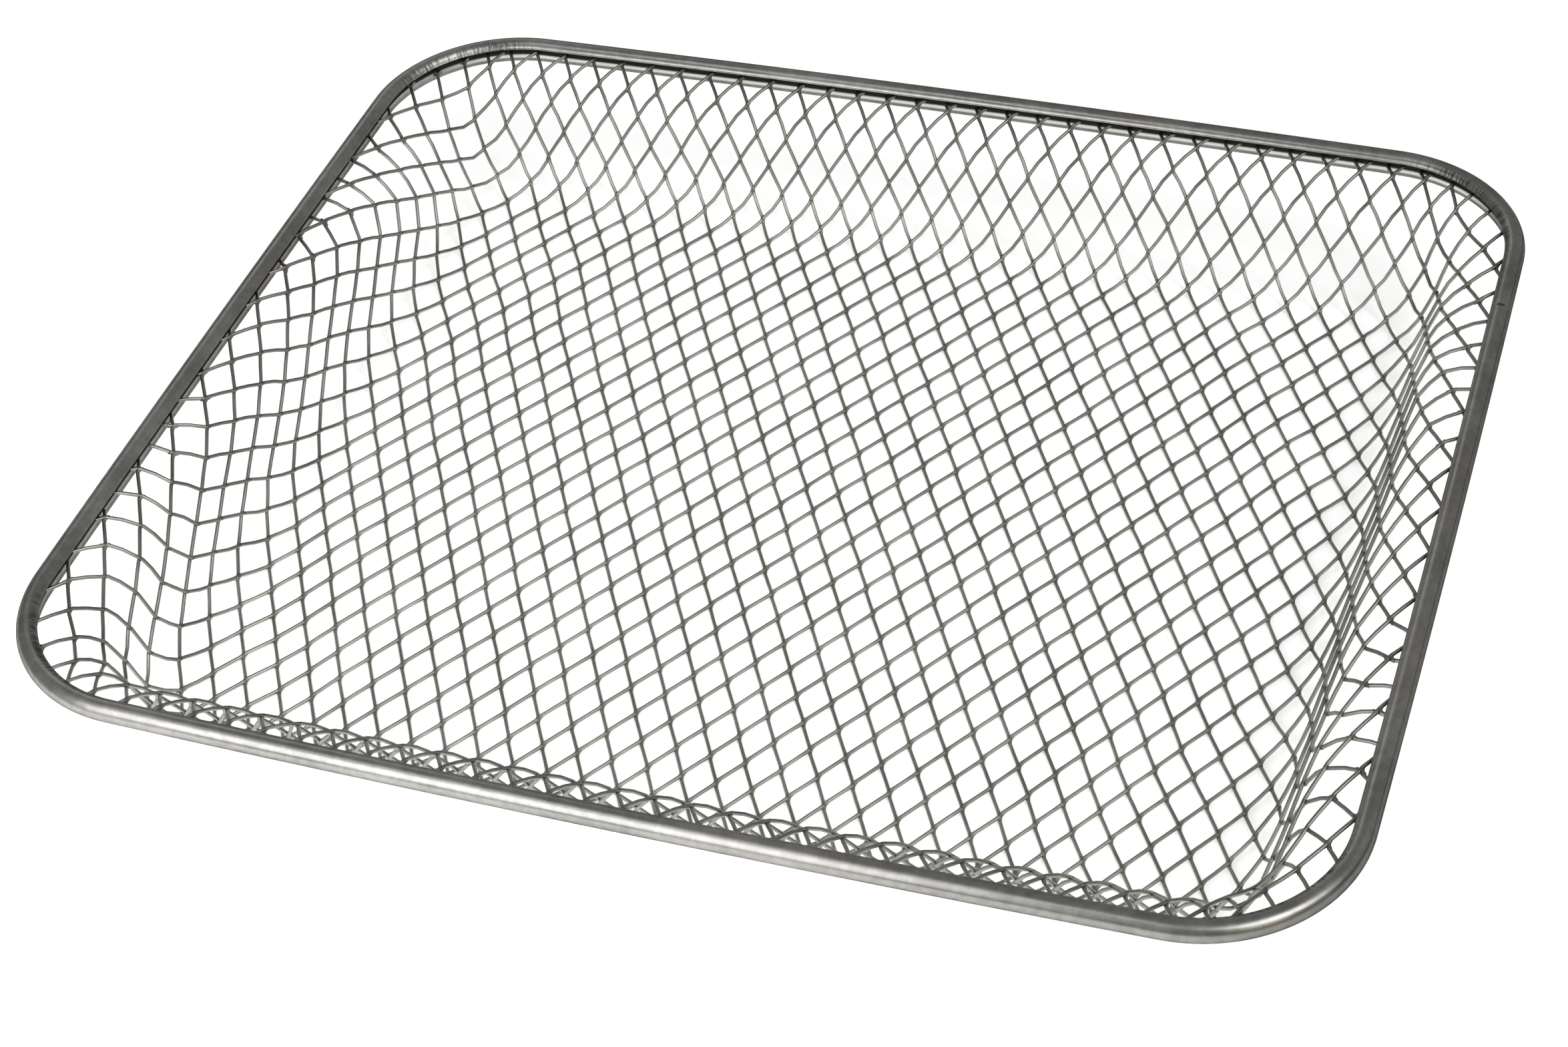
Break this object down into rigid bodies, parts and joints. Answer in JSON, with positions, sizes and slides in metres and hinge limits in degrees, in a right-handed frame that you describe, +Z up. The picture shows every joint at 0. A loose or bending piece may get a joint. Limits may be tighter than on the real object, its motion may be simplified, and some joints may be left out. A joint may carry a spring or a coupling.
{
  "type": "deep fryer basket",
  "caption": "Shallow rectangular deep fryer basket of woven steel wire mesh with sloping walls and rounded corners, held in a rolled steel rim.",
  "frame": {"origin": "centre of the underside, level with the bottom of the floor wires", "axes": "+Z up, X along the long sides, Y along the short sides; the picture is taken from -Y, a little towards +X"},
  "size_m": [0.3356, 0.2912, 0.0372],
  "materials": {
    "wire_steel": "satin",
    "rim_steel": "satin"
  },
  "bodies": {
    "root": {"rolled_rim": "rim_steel", "warp_wires": "wire_steel", "weft_wires": "wire_steel"}
  },
  "joints": []
}
